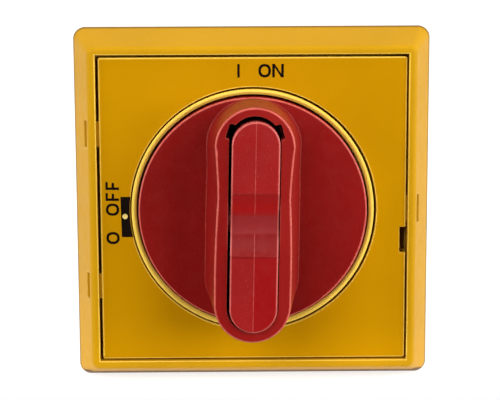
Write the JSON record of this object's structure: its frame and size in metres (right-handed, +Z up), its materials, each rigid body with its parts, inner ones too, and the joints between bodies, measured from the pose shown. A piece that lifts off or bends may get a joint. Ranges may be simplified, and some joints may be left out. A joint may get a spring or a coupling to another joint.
{
  "type": "rotary isolator switch",
  "caption": "Door-mounted rotary isolator switch: yellow square front, red grip with a padlock lever, and a stacked switch body behind the panel.",
  "frame": {"origin": "centre of the front's rear face, on the rotary axis, at the panel's outer surface", "axes": "+X to the user's right, +Y into the panel along the rotary axis, +Z up; the grip stands out towards -Y"},
  "size_m": [0.067, 0.086, 0.067],
  "materials": {
    "frame_yellow": "moulded yellow plastic, satin",
    "legend_yellow": "flat yellow plastic plate, satin, fine grain",
    "handle_red": "moulded red plastic, semi-gloss",
    "lever_red": "moulded red plastic, semi-gloss",
    "carrier_black": "glass-filled black plastic",
    "flange_black": "glass-filled black plastic",
    "body_grey": "dark grey moulded plastic",
    "rotor_plastic": "natural moulded plastic",
    "zinc_steel": "bright zinc plated",
    "shaft_steel": "drawn steel bar",
    "spring_steel": "blued spring steel",
    "contact_copper": "copper, silvered by wear at the contact faces",
    "seal_rubber": "black elastomer"
  },
  "bodies": {
    "housing": {"front_frame": "frame_yellow", "panel_gasket": "seal_rubber", "legend_plate": "legend_yellow", "fixing_screws": "zinc_steel", "mounting_flange": "flange_black", "flange_nuts": "zinc_steel", "detent_housing": "body_grey", "detent_spring_left": "spring_steel", "detent_spring_right": "spring_steel", "rear_cover": "body_grey", "assembly_screws": "zinc_steel", "deck_housing_1": "body_grey", "deck_housing_2": "body_grey", "deck_housing_3": "body_grey", "line_contact_1": "contact_copper", "line_contact_2": "contact_copper", "line_contact_3": "contact_copper", "load_contact_1": "contact_copper", "load_contact_2": "contact_copper", "load_contact_3": "contact_copper", "terminal_screws_1": "zinc_steel", "terminal_screws_2": "zinc_steel", "terminal_screws_3": "zinc_steel", "terminal_washers_1": "zinc_steel", "terminal_washers_2": "zinc_steel", "terminal_washers_3": "zinc_steel"},
    "handle": {"handle_knob": "handle_red", "handle_insert": "carrier_black", "insert_screws": "zinc_steel", "handle_screw": "zinc_steel", "hub_o_ring": "seal_rubber", "retaining_clip": "spring_steel", "lever_pin": "shaft_steel", "lock_pin_spring": "spring_steel", "drive_shaft": "shaft_steel", "detent_cam": "rotor_plastic", "rotor_base_1": "rotor_plastic", "rotor_base_2": "rotor_plastic", "rotor_base_3": "rotor_plastic", "rotor_cap_1": "rotor_plastic", "rotor_cap_2": "rotor_plastic", "rotor_cap_3": "rotor_plastic", "blade_pair_1": "contact_copper", "blade_pair_2": "contact_copper", "blade_pair_3": "contact_copper"},
    "lever": {"padlock_lever": "lever_red"},
    "lock": {"lock_pin": "shaft_steel"}
  },
  "joints": [
    {"name": "handle_turn", "type": "hinge", "parent": "housing", "child": "handle", "pos_m": [0, 0, 0], "axis": [0, -1, 0], "range_deg": [0, 90], "deforming": ["detent_spring_left", "detent_spring_right"]},
    {"name": "lever_swing", "type": "hinge", "parent": "handle", "child": "lever", "pos_m": [0.00002, -0.0225, 0.00085], "axis": [-0.9998, 0, 0.0209], "range_deg": [0, 26], "stiffness_Nm_per_rad": 0.03, "springref_deg": -17.19},
    {"name": "lock_pin_slide", "type": "slide", "parent": "handle", "child": "lock", "axis": [0, 1, 0], "range_m": [0, 0.006], "deforming": ["lock_pin_spring"]}
  ],
  "couplings": [
    {"joint": "lock_pin_slide", "follows": "lever_swing", "m_per_rad": 0.0131}
  ]
}
